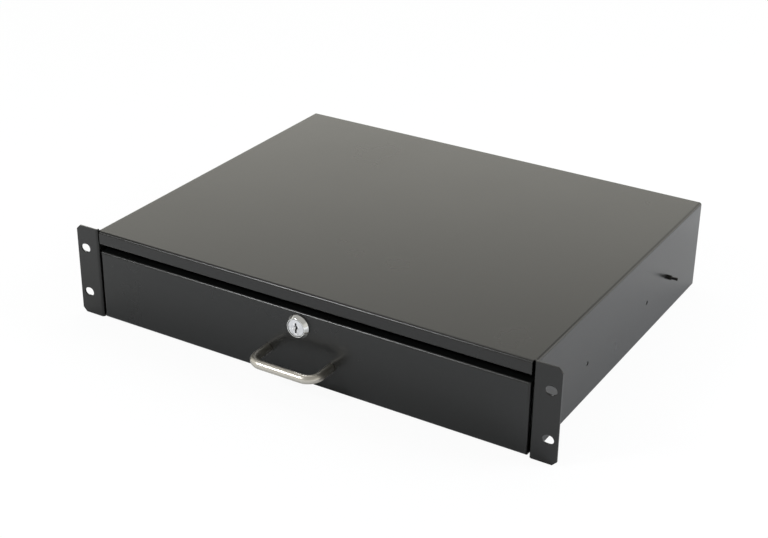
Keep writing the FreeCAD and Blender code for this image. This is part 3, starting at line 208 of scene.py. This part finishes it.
# Cold rolling draws lines along the rails; 0.4 mm apart is coarser than life, so that they show.
MATERIALS = {
    "powder_coat": powder_coat("satin black powder coat on the housing", "#0f0f0f", "#131312", 0.26),
    "front_coat": powder_coat("satin black powder coat on the drawer front", "#0e0f0f", "#121313", 0.28),
    "rivet_black": plated_metal("black lacquered steel rivet", "#3a3a38", "#242423", 0.4, 0.6, EVEN, 0.2),
    "zinc_rail": plated_metal("bright zinc plate on cold-rolled rail", "#c9ccd0", "#a9adb3", 0.3,
                              0.4, ALONG_Y, 0.25),
    "cage_plastic": moulded_polymer("moulded black acetal", "#1b1b1c", "#2a2a2b", 0.42, 0.5),
    "ball_steel": plated_metal("lapped bearing steel", "#c4c6ca", "#b5b8bd", 0.08, 0.8, EVEN, 0.03),
    "buffer_rubber": moulded_polymer("moulded black rubber", "#151515", "#222221", 0.75, 0.7),
    "zinc_screw": plated_metal("zinc plate on cold-headed screws", "#c2c3c2", "#96999b", 0.33,
                               0.5, EVEN, 0.2),
    "black_screw": plated_metal("black oxide on machined steel", "#393836", "#242322", 0.38,
                                0.5, EVEN, 0.2),
    "satin_nickel": plated_metal("satin nickel, brushed along the bar", "#c5c1b9", "#bdb9b0", 0.35,
                                 0.35, ALONG_X, 0.02),
    "lock_chrome": plated_metal("bright chrome plate on turned zinc", "#e9e9e8", "#dcdddc", 0.12,
                                0.7, EVEN, 0.03),
    "lock_face": plated_metal("satin chrome plate on the lock's plug", "#dddee0", "#d2d3d6", 0.34,
                              0.3, EVEN, 0.06),
}

# Modelling ----------------------------------------------------------------------------------------


def begin(name, add, **settings):
    """Adds a primitive with nothing else selected, and puts its place into its mesh."""
    bpy.ops.object.select_all(action="DESELECT")
    add(**settings)
    piece = bpy.context.object
    piece.name = name
    piece.data.name = name
    bpy.ops.object.transform_apply(location=True, rotation=True, scale=True)
    return piece


def take(piece):
    """Makes a piece the only one selected."""
    bpy.ops.object.select_all(action="DESELECT")
    piece.select_set(True)
    bpy.context.view_layer.objects.active = piece


def pick_faces(piece, test):
    """In edit mode, selects the faces whose centre and normal pass a test, and nothing else."""
    bpy.ops.mesh.select_mode(type="FACE")
    bpy.ops.mesh.select_all(action="DESELECT")
    mesh = bmesh.from_edit_mesh(piece.data)
    for face in mesh.faces:
        face.select_set(test(face.calc_center_median(), face.normal))
    bmesh.update_edit_mesh(piece.data)


def use_modifier(piece, kind, **settings):
    """Adds a modifier with its settings and applies it."""
    take(piece)
    modifier = piece.modifiers.new(kind.title(), kind)
    for name, value in settings.items():
        setattr(modifier, name, value)
    bpy.ops.object.modifier_apply(modifier=modifier.name)


def smooth(piece, degrees=32):
    """Shades a piece smooth over its edges up to an angle."""
    take(piece)
    bpy.ops.object.shade_smooth_by_angle(angle=math.radians(degrees))


def close_up(piece):
    """Merges doubles and turns every face outwards."""
    take(piece)
    bpy.ops.object.mode_set(mode="EDIT")
    bpy.ops.mesh.select_all(action="SELECT")
    bpy.ops.mesh.remove_doubles(threshold=SAME_POINT)
    bpy.ops.mesh.normals_make_consistent(inside=False)
    bpy.ops.object.mode_set(mode="OBJECT")


def turned(name, outline, sides=64, ring=False):
    """A turned piece on the Z axis: a circle extruded and scaled from step to step.

    The outline lists heights and radii in millimetres. A ring's outline ends where it starts.
    """
    height, radius = outline[0]
    piece = begin(name, bpy.ops.mesh.primitive_circle_add, vertices=sides, radius=radius * MM,
                  fill_type="NOTHING" if ring else "NGON", location=(0, 0, height * MM))
    bpy.ops.object.mode_set(mode="EDIT")
    bpy.ops.mesh.select_all(action="SELECT")
    for next_height, next_radius in outline[1:]:
        rise = {"value": (0, 0, (next_height - height) * MM)}
        if ring:
            bpy.ops.mesh.extrude_edges_move(TRANSFORM_OT_translate=rise)
        else:
            bpy.ops.mesh.extrude_region_move(TRANSFORM_OT_translate=rise)
        share = next_radius / radius
        bpy.ops.transform.resize(value=(share, share, 1), center_override=(0, 0, 0))
        height, radius = next_height, next_radius
    bpy.ops.object.mode_set(mode="OBJECT")
    close_up(piece)
    return piece


def cut_away(piece, cutter):
    """Cuts one piece out of another and clears the cutter away."""
    use_modifier(piece, "BOOLEAN", operation="DIFFERENCE", object=cutter, solver="EXACT")
    bpy.data.objects.remove(cutter)


def hexagon(name, flats, low, high):
    """A hexagonal bar on the Z axis, measured over its flats, in millimetres."""
    return begin(name, bpy.ops.mesh.primitive_cylinder_add, vertices=6, radius=flats / math.sqrt(3) * MM,
                 depth=(high - low) * MM, location=(0, 0, (high + low) / 2 * MM))


def send(piece, place, heading):
    """Turns a piece from the Z axis to a heading, moves it to its place, and fixes both in its mesh."""
    take(piece)
    piece.rotation_mode = "QUATERNION"
    piece.rotation_quaternion = Vector(heading).to_track_quat("Z", "Y")
    piece.location = place
    bpy.ops.object.transform_apply(location=True, rotation=True, scale=True)


def copies(master, name, places, heading):
    """Copies of a piece modelled once, each with its own mesh, joined under one name."""
    made = []
    for place in places:
        take(master)
        bpy.ops.object.duplicate(linked=False)
        copy = bpy.context.object
        send(copy, place, heading)
        made.append(copy)
    bpy.ops.object.select_all(action="DESELECT")
    for copy in made:
        copy.select_set(True)
    bpy.context.view_layer.objects.active = made[0]
    if len(made) > 1:
        bpy.ops.object.join()
    piece = bpy.context.object
    piece.name = name
    piece.data.name = name
    return piece


def body_of(node):
    """The body that a CAD node rides on."""
    return next(body for body, nodes in frame["record"]["behaviour"]["bodies"].items() if node in nodes)


def install(piece, node, slot):
    """Dresses a finished piece, lets it ride with its body and puts it in the place of a CAD node."""
    piece.data.materials.clear()
    piece.data.materials.append(MATERIALS[slot])
    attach(piece, body_of(node))
    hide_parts(node)


def install_copies(master, name, node, places, heading, slot):
    """Puts copies of a master in the place of a CAD node, and clears the master away."""
    install(copies(master, name, places, heading), node, slot)
    bpy.data.objects.remove(master)


def islands(node):
    """The middle of each separate solid of a node, from left to right, then from front to back."""
    take_from = frame["nodes"][node]
    mesh = bmesh.new()
    mesh.from_mesh(take_from.data)
    bmesh.ops.remove_doubles(mesh, verts=mesh.verts, dist=SAME_POINT)
    left = set(mesh.verts)
    middles = []
    while left:
        front = [left.pop()]
        found = list(front)
        while front:
            for edge in front.pop().link_edges:
                for vertex in edge.verts:
                    if vertex in left:
                        left.remove(vertex)
                        front.append(vertex)
                        found.append(vertex)
        low = Vector([min(v.co[axis] for v in found) for axis in range(3)])
        high = Vector([max(v.co[axis] for v in found) for axis in range(3)])
        middles.append((low + high) / 2)
    mesh.free()
    return sorted(middles, key=lambda middle: (round(middle.x, 4), round(middle.y, 4)))


# Folded and pressed pieces ------------------------------------------------------------------------

# Each piece is a copy of its CAD node with its cut edges rounded, in millimetres.
SHEET_PIECES = [
    ("folded_housing", "housing_shell", "powder_coat", 0.14),
    ("back_panel", "rear_panel", "powder_coat", 0.2),
    ("strike_bracket", "lock_strike", "powder_coat", 0.2),
    ("folded_tray", "drawer_tray", "powder_coat", 0.2),
    ("drawer_front", "front_panel", "front_coat", 0.25),
    ("cam_blade", "lock_cam", "zinc_screw", 0.2),
]
for side in ("left", "right"):
    SHEET_PIECES += [
        (f"{side}_wall_rail", f"{side}_cabinet_rail", "zinc_rail", 0.15),
        (f"{side}_telescope_rail", f"{side}_middle_rail", "zinc_rail", 0.15),
        (f"{side}_tray_rail", f"{side}_drawer_rail", "zinc_rail", 0.15),
        (f"{side}_outer_ball_cage", f"{side}_outer_cage", "cage_plastic", 0.08),
        (f"{side}_inner_ball_cage", f"{side}_inner_cage", "cage_plastic", 0.08),
        (f"{side}_stop_buffer", f"{side}_rail_buffer", "buffer_rubber", 0.5),
        (f"{side}_countersunk_screws", f"{side}_wall_screws", "zinc_screw", 0.08),
    ]


def soften(name, node, slot, rounding):
    """Copies a CAD node, joins its loose triangles and rounds its sharp edges."""
    piece = bpy.data.objects.new(name, frame["nodes"][node].data.copy())
    bpy.context.scene.collection.objects.link(piece)
    take(piece)
    bpy.ops.object.mode_set(mode="EDIT")
    bpy.ops.mesh.select_all(action="SELECT")
    bpy.ops.mesh.remove_doubles(threshold=SAME_POINT)
    bpy.ops.mesh.dissolve_limited(angle_limit=math.radians(0.5))
    bpy.ops.object.mode_set(mode="OBJECT")
    use_modifier(piece, "BEVEL", width=rounding * MM, segments=2, limit_method="ANGLE",
                 angle_limit=math.radians(50), use_clamp_overlap=False, harden_normals=False)
    # Where a cut edge runs into a bend the rounding can throw a corner outwards: it's pulled back.
    low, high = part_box(node)
    for vertex in piece.data.vertices:
        vertex.co = [min(max(value, least), most) for value, least, most in zip(vertex.co, low, high)]
    smooth(piece)
    use_modifier(piece, "WEIGHTED_NORMAL", weight=100, keep_sharp=True)
    install(piece, node, slot)


for name, node, slot, rounding in SHEET_PIECES:
    soften(name, node, slot, rounding)

# Balls --------------------------------------------------------------------------------------------

for side in ("left", "right"):
    for race in ("outer", "inner"):
        node = f"{side}_{race}_balls"
        middles = islands(node)
        low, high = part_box(node)
        radius = (middles[0].y - low.y) / MM
        ball = begin("ball", bpy.ops.mesh.primitive_ico_sphere_add, subdivisions=3, radius=radius * MM)
        smooth(ball, 180)
        install_copies(ball, f"{side}_{race}_bearing_balls", node, middles, (0, 0, 1), "ball_steel")

# Screws, nuts and rivets --------------------------------------------------------------------------


COARSE_PITCH = 0.7
FINE_PITCH = 0.5
SOCKET_FLATS = 2.5
SOCKET_DEPTH = 1.2


def pan_screw(name, head, height, shank, length):
    """A pan-head screw with a hexagon socket. It stands on the plane under its head, in millimetres."""
    crown = []
    for degrees in (15, 35, 55, 75, 90):
        angle = math.radians(degrees)
        crown.append((height * math.sin(angle), head / 2 * (0.55 + 0.45 * math.cos(angle))))
    thread = []
    for step in range(int(length / COARSE_PITCH)):
        foot = -length + step * COARSE_PITCH
        thread += [(foot + 0.1, shank / 2 - 0.3), (foot + 0.45, shank / 2)]
    outline = [(-length, shank / 2 - 0.45)] + thread + [(0, shank / 2 - 0.15), (0, head / 2)] + crown
    piece = turned(name, outline, sides=40)
    cut_away(piece, hexagon("socket", SOCKET_FLATS, height - SOCKET_DEPTH, height + 1))
    use_modifier(piece, "BEVEL", width=0.1 * MM, segments=2, limit_method="ANGLE",
                 angle_limit=math.radians(55), use_clamp_overlap=True)
    smooth(piece)
    return piece


# The screws from the tray's side into the drawer rails, with their heads on the tray's inner face.
TRAY_SCREW_HEAD = 2.2
for side, inwards in (("left", 1), ("right", -1)):
    node = f"{side}_tray_screws"
    screw = pan_screw("tray_screw", 7.0, TRAY_SCREW_HEAD, 3.5, 3.8)
    low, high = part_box(node)
    crown = high.x if side == "left" else low.x
    seat = crown - inwards * TRAY_SCREW_HEAD * MM
    places = [Vector((seat, middle.y, middle.z)) for middle in islands(node)]
    install_copies(screw, f"{side}_tray_pan_screws", node, places, (inwards, 0, 0), "zinc_screw")

# The pull's screws, with their heads at the back.
PULL_SCREW_HEAD = 2.4
screw = pan_screw("pull_screw", 8.0, PULL_SCREW_HEAD, 4.0, 10.7)
low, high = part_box("handle_screws")
places = [Vector((middle.x, high.y - PULL_SCREW_HEAD * MM, middle.z)) for middle in islands("handle_screws")]
install_copies(screw, "pull_screws", "handle_screws", places, (0, 1, 0), "zinc_screw")

# The cam's screw, with its head at the back.
CAM_SCREW_HEAD = 2.6
screw = pan_screw("cam_screw", 9.0, CAM_SCREW_HEAD, 4.0, 6.0)
low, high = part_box("lock_cam_screw")
middle = (low + high) / 2
place = Vector((middle.x, high.y - CAM_SCREW_HEAD * MM, middle.z))
install_copies(screw, "cam_pan_screw", "lock_cam_screw", [place], (0, 1, 0), "zinc_screw")

# Washers under the pull's screws, with rounded rims.
low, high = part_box("handle_washers")
washer = turned("washer", [(0, 2.1), (0, 4.8), (0.2, 5), (0.8, 5), (1, 4.8), (1, 2.1), (0, 2.1)], ring=True)
smooth(washer)
places = [Vector((middle.x, low.y, middle.z)) for middle in islands("handle_washers")]
install_copies(washer, "pull_washers", "handle_washers", places, (0, 1, 0), "zinc_screw")


def chamfered_hexagon(name, flats, low, high, bore):
    """A nut's hexagon with its corners turned down at both ends, and its bore."""
    piece = hexagon(name, flats, low, high)
    corner = flats / math.sqrt(3)
    drop = (corner - flats / 2) * 0.8
    face = flats / 2 * 0.97
    outline = [(low, face), (low + drop, corner + 0.2), (high - drop, corner + 0.2), (high, face)]
    corner_form = turned("corner_form", outline, sides=96)
    use_modifier(piece, "BOOLEAN", operation="INTERSECT", object=corner_form, solver="EXACT")
    bpy.data.objects.remove(corner_form)
    mouth = bore / 2 + 0.4
    outline = [(low - 1, mouth), (low, mouth), (low + 0.5, bore / 2),
               (high - 0.5, bore / 2), (high, mouth), (high + 1, mouth)]
    cut_away(piece, turned("bore", outline, sides=48))
    return piece


# The nuts on the front panel's studs, each with a round flange under it.
nut = chamfered_hexagon("flanged_nut", 7.0, 0.6, 3.2, 4.0)
flange = turned("flange", [(0, 2), (0, 4.9), (0.25, 5), (0.6, 4.9), (1.3, 3.6), (1.3, 2), (0, 2)], ring=True)
bpy.ops.object.select_all(action="DESELECT")
flange.select_set(True)
nut.select_set(True)
bpy.context.view_layer.objects.active = nut
bpy.ops.object.join()
smooth(nut)
low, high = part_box("front_panel_nuts")
places = [Vector((middle.x, low.y, middle.z)) for middle in islands("front_panel_nuts")]
install_copies(nut, "panel_flange_nuts", "front_panel_nuts", places, (0, 1, 0), "zinc_screw")

# Blind rivets: a flanged dome outside with the hole of its pulled pin, and a bulb inside.
low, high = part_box("rear_panel_rivets")
RIVET_DOME = 1.2
dome = [(0, 3.15), (0.12, 3.2), (0.3, 3.15), (0.75, 2.7), (1.05, 2.2), (RIVET_DOME, 1.7), (RIVET_DOME, 1.0),
        (0.7, 0.95)]
reach = (high.y - low.y) / MM - RIVET_DOME
bulb = [(-reach, 0.8), (-reach, 1.6), (-reach + 0.3, 2.1), (-reach + 0.9, 2.4), (-reach + 1.6, 1.6), (0, 1.6)]
rivet = turned("blind_rivet", bulb + dome, sides=32)
smooth(rivet, 40)
places = [Vector((middle.x, high.y - RIVET_DOME * MM, middle.z)) for middle in islands("rear_panel_rivets")]
install_copies(rivet, "blind_rivets", "rear_panel_rivets", places, (0, 1, 0), "rivet_black")

# The long threaded screw at the back of each rail, and the collar on it outside the wall.
for side, sign in (("left", -1), ("right", 1)):
    node = f"{side}_back_screw"
    low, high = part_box(node)
    middle = (low + high) / 2
    length = (high.x - low.x) / MM
    outline = [(0, 2.4), (0.1, 2.45), (1.0, 1.5)]
    for turn in range(int((length - 1.6) / FINE_PITCH)):
        foot = 1.1 + turn * FINE_PITCH
        outline += [(foot + 0.1, 1.22), (foot + 0.35, 1.5)]
    outline += [(length - 0.3, 1.3), (length, 1.0)]
    screw = turned("long_screw", outline, sides=28)
    smooth(screw, 60)
    head_face = low.x if sign > 0 else high.x
    place = Vector((head_face, middle.y, middle.z))
    install_copies(screw, f"{side}_long_screw", node, [place], (sign, 0, 0), "black_screw")
    node = f"{side}_back_collar"
    low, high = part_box(node)
    outline = [(0, 1.45), (0, 2.2), (3.1, 2.2), (3.4, 2.1), (3.8, 1.7), (3.8, 1.45), (0, 1.45)]
    collar = turned("collar", outline, sides=40, ring=True)
    smooth(collar, 50)
    wall_face = low.x if sign > 0 else high.x
    place = Vector((wall_face, middle.y, middle.z))
    install_copies(collar, f"{side}_screw_collar", node, [place], (sign, 0, 0), "black_screw")

# Pull ---------------------------------------------------------------------------------------------

# A round bar: out from the front, round a bend, across, round the other bend and back in.
PULL_BEND = 11.5 * MM
BEND_STEPS = 20
low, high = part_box("pull_handle")
bar = (high.z - low.z) / 2
leg = -low.x - bar
knee = low.y + bar + PULL_BEND
axis_height = (low.z + high.z) / 2
pull = begin("pull_bar", bpy.ops.mesh.primitive_circle_add, vertices=56, radius=bar, fill_type="NGON",
             location=(-leg, high.y, axis_height), rotation=(math.radians(90), 0, 0))
bpy.ops.object.mode_set(mode="EDIT")
bpy.ops.mesh.select_all(action="SELECT")
bpy.ops.mesh.extrude_region_move(TRANSFORM_OT_translate={"value": (0, knee - high.y, 0)})
bpy.ops.mesh.spin(steps=BEND_STEPS, angle=math.radians(90), center=(PULL_BEND - leg, knee, axis_height),
                  axis=(0, 0, -1))
bpy.ops.mesh.extrude_region_move(TRANSFORM_OT_translate={"value": (2 * (leg - PULL_BEND), 0, 0)})
bpy.ops.mesh.spin(steps=BEND_STEPS, angle=math.radians(90), center=(leg - PULL_BEND, knee, axis_height),
                  axis=(0, 0, -1))
bpy.ops.mesh.extrude_region_move(TRANSFORM_OT_translate={"value": (0, high.y - knee, 0)})
bpy.ops.object.mode_set(mode="OBJECT")
close_up(pull)
bpy.ops.object.mode_set(mode="EDIT")
pick_faces(pull, lambda middle, normal: normal.y > 0.99)
bpy.ops.mesh.bevel(offset=0.3 * MM, segments=2, affect="EDGES")
bpy.ops.object.mode_set(mode="OBJECT")
smooth(pull)
install(pull, "pull_handle", "satin_nickel")

# Lock ---------------------------------------------------------------------------------------------

low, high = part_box("lock_barrel")
lock_place = Vector((0, 0, (low.z + high.z) / 2))
# From the back: the threaded barrel, a straight foot, a cone, a narrow flat rim and a groove round the plug.
THREAD_TURNS = 11
bezel = [(13, 6.05), (13, 8.7)]
for turn in range(THREAD_TURNS):
    foot = 12.8 - turn
    bezel += [(foot - 0.1, 8.7), (foot - 0.5, 9.0), (foot - 0.9, 8.7)]
bezel += [(0, 8.9), (0, 10.8), (-0.12, 10.9), (-1.45, 10.9), (-1.62, 10.84), (-1.8, 10.72)]
bezel += [(-4.82, 8.86), (-4.98, 8.74), (-5.08, 8.58), (-5.1, 8.42), (-5.1, 8.28), (-5.04, 8.15)]
bezel += [(-4.85, 8.1), (-1.3, 8.05), (-1.3, 6.05), (13, 6.05)]
barrel = turned("lock_bezel", bezel, sides=96, ring=True)
smooth(barrel, 28)
send(barrel, lock_place, (0, 1, 0))
install(barrel, "lock_barrel", "lock_chrome")

# The plug's face has a shallow round dish with the keyhole through it.
outline = [(15.4, 3.3), (13.4, 3.5), (13.4, 5.95), (-1.8, 5.95), (-1.8, 7.55), (-4.74, 7.6), (-4.8, 7.54)]
plug = turned("key_plug", outline, sides=96)
key_slot = begin("key_slot", bpy.ops.mesh.primitive_cube_add, size=1, location=(0, 0, 2 * MM),
                 scale=(1.6 * MM, 9.2 * MM, 14.2 * MM))
cut_away(plug, turned("key_dish", [(-5.8, 3.3), (-4.8, 2.4), (-3.4, 0.2)], sides=64))
cut_away(plug, key_slot)
smooth(plug, 30)
send(plug, lock_place, (0, 1, 0))
install(plug, "lock_plug", "lock_face")

low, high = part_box("lock_nut")
nut = chamfered_hexagon("barrel_nut", 20.8, 0, 3.0, 18.0)
smooth(nut)
send(nut, Vector((0, low.y, lock_place.z)), (0, 1, 0))
install(nut, "lock_nut", "zinc_screw")

# Floor, light and camera --------------------------------------------------------------------------

floor = begin("studio_floor", bpy.ops.mesh.primitive_plane_add, size=40, location=(0, 0, cad_box[0].z))
paper = bpy.data.materials.new("white studio paper")
paper.use_nodes = True
tree = paper.node_tree
tree.nodes.clear()
# Seen directly the paper is almost all its own white, with a trace of the drawer's shadow on it.
path = add_node(tree, "ShaderNodeLightPath", {})
share = add_node(tree, "ShaderNodeMath", {"operation": "MULTIPLY", 1: 0.93},
                 {0: path.outputs["Is Camera Ray"]})
matt = add_node(tree, "ShaderNodeBsdfDiffuse", {"Color": linear("#f3f5f8")})
white = add_node(tree, "ShaderNodeEmission", {"Color": linear("#ffffff"), "Strength": 1.0})
both = add_node(tree, "ShaderNodeMixShader", {}, {0: share.outputs["Value"], 1: matt.outputs["BSDF"],
                                                  2: white.outputs["Emission"]})
add_node(tree, "ShaderNodeOutputMaterial", {}, {"Surface": both.outputs["Shader"]})
floor.data.materials.append(paper)

world = bpy.data.worlds.new("white studio")
bpy.context.scene.world = world
world.use_nodes = True
tree = world.node_tree
tree.nodes.clear()
path = add_node(tree, "ShaderNodeLightPath", {})
seen = add_node(tree, "ShaderNodeMath", {"operation": "MAXIMUM"},
                {0: path.outputs["Is Camera Ray"], 1: path.outputs["Is Transmission Ray"]})
# A white sweep stands behind the drawer. It fades out between 20 and 37 degrees up and towards the
# front, and the room over it is dimmer.
heading = add_node(tree, "ShaderNodeSeparateXYZ", {},
                   {"Vector": add_node(tree, "ShaderNodeTexCoord", {}).outputs["Generated"]})
low_down = add_node(tree, "ShaderNodeMapRange",
                    {"interpolation_type": "SMOOTHSTEP", "From Min": 0.34, "From Max": 0.6,
                     "To Min": 1.0, "To Max": 0.0}, {"Value": heading.outputs["Z"]})
rearward = add_node(tree, "ShaderNodeMapRange",
                    {"interpolation_type": "SMOOTHSTEP", "From Min": -0.5, "From Max": 0.4,
                     "To Min": 0.15, "To Max": 1.0}, {"Value": heading.outputs["Y"]})
sweep = add_node(tree, "ShaderNodeMath", {"operation": "MULTIPLY"},
                 {0: low_down.outputs["Result"], 1: rearward.outputs["Result"]})
level = add_node(tree, "ShaderNodeMapRange", {"To Min": 0.5, "To Max": 1.85},
                 {"Value": sweep.outputs["Value"]})
tint = add_node(tree, "ShaderNodeMix", {"data_type": "RGBA", 6: linear("#f7f6f0"), 7: linear("#fffdf3")},
                {0: sweep.outputs["Value"]})
around = add_node(tree, "ShaderNodeBackground", {},
                  {"Color": tint.outputs[2], "Strength": level.outputs["Result"]})
white = add_node(tree, "ShaderNodeBackground", {"Color": linear("#ffffff"), "Strength": 1.0})
both = add_node(tree, "ShaderNodeMixShader", {}, {0: seen.outputs["Value"], 1: around.outputs["Background"],
                                                  2: white.outputs["Background"]})
add_node(tree, "ShaderNodeOutputWorld", {}, {"Surface": both.outputs["Shader"]})


def softbox(name, place, aim, width, height, power, colour):
    """A rectangular lamp that faces a point."""
    lamp = bpy.data.lights.new(name, "AREA")
    lamp.shape = "RECTANGLE"
    lamp.size = width
    lamp.size_y = height
    lamp.energy = power
    lamp.color = linear(colour)[:3]
    holder = bpy.data.objects.new(name, lamp)
    holder.location = place
    holder.rotation_mode = "QUATERNION"
    holder.rotation_quaternion = (Vector(place) - Vector(aim)).to_track_quat("Z", "Y")
    bpy.context.scene.collection.objects.link(holder)


softbox("key_softbox", (-0.95, -1.25, 1.2), (0, 0, 0), 0.4, 0.4, 18, "#fcfdff")
softbox("back_softbox", (1.6, 0.9, 1.15), (0.2, 0.2, 0), 0.8, 0.8, 22, "#f6f8ff")
softbox("overhead_softbox", (-0.4, 0.9, 1.9), (0, 0.2, 0), 1.4, 1.0, 6, "#fffdf8")

lens = bpy.data.cameras.new("camera")
lens.sensor_width = 36
lens.lens = 70.67
lens.clip_start = 0.05
lens.clip_end = 100
camera = bpy.data.objects.new("camera", lens)
camera.location = (0.6295, -0.9132, 0.6198)
camera.rotation_euler = [math.radians(angle) for angle in (63.364, -0.628, 31.243)]
bpy.context.scene.collection.objects.link(camera)
bpy.context.scene.camera = camera

bpy.context.scene.view_settings.view_transform = "Standard"
